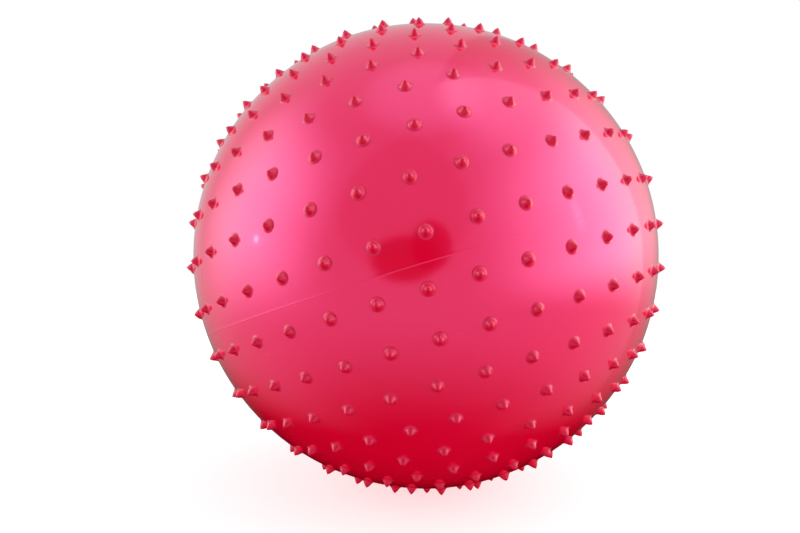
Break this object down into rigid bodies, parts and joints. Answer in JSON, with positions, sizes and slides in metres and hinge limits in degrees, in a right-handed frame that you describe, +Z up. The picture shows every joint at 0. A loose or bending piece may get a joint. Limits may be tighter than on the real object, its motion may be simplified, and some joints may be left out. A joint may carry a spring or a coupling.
{
  "type": "sensory ball",
  "caption": "Inflatable soft PVC sensory ball with rows of flared, pointed nubs, a parting seam and a flush valve with a pull-out plug.",
  "frame": {"origin": "on the floor, straight below the middle of the ball", "axes": "+Z up; -Y towards the picture's viewer; the moulding axis leans 17 degrees to -X and 11.5 degrees to +Y"},
  "size_m": [0.5642, 0.5654, 0.5634],
  "materials": {
    "pvc_skin": "glossy pearly pink-red soft PVC",
    "pvc_nubs": "glossy pink-red soft PVC, a shade deeper than the skin",
    "valve_white": "satin off-white soft PVC"
  },
  "bodies": {
    "ball": {"skin": "pvc_skin", "valve_insert": "pvc_skin", "upper_nub_row_1": "pvc_nubs", "upper_nub_row_2": "pvc_nubs", "upper_nub_row_3": "pvc_nubs", "upper_nub_row_4": "pvc_nubs", "upper_nub_row_5": "pvc_nubs", "upper_nub_row_6": "pvc_nubs", "upper_nub_row_7": "pvc_nubs", "upper_nub_row_8": "pvc_nubs", "upper_nub_row_9": "pvc_nubs", "lower_nub_row_1": "pvc_nubs", "lower_nub_row_2": "pvc_nubs", "lower_nub_row_3": "pvc_nubs", "lower_nub_row_4": "pvc_nubs", "lower_nub_row_5": "pvc_nubs", "lower_nub_row_6": "pvc_nubs", "lower_nub_row_7": "pvc_nubs", "lower_nub_row_8": "pvc_nubs", "lower_nub_row_9": "pvc_nubs", "lower_pole_nub": "pvc_nubs"},
    "plug": {"valve_plug": "valve_white"}
  },
  "joints": [
    {"name": "plug_pull", "type": "slide", "parent": "ball", "child": "plug", "axis": [-0.2865, 0.1994, 0.9371], "range_m": [0, 0.04]}
  ]
}
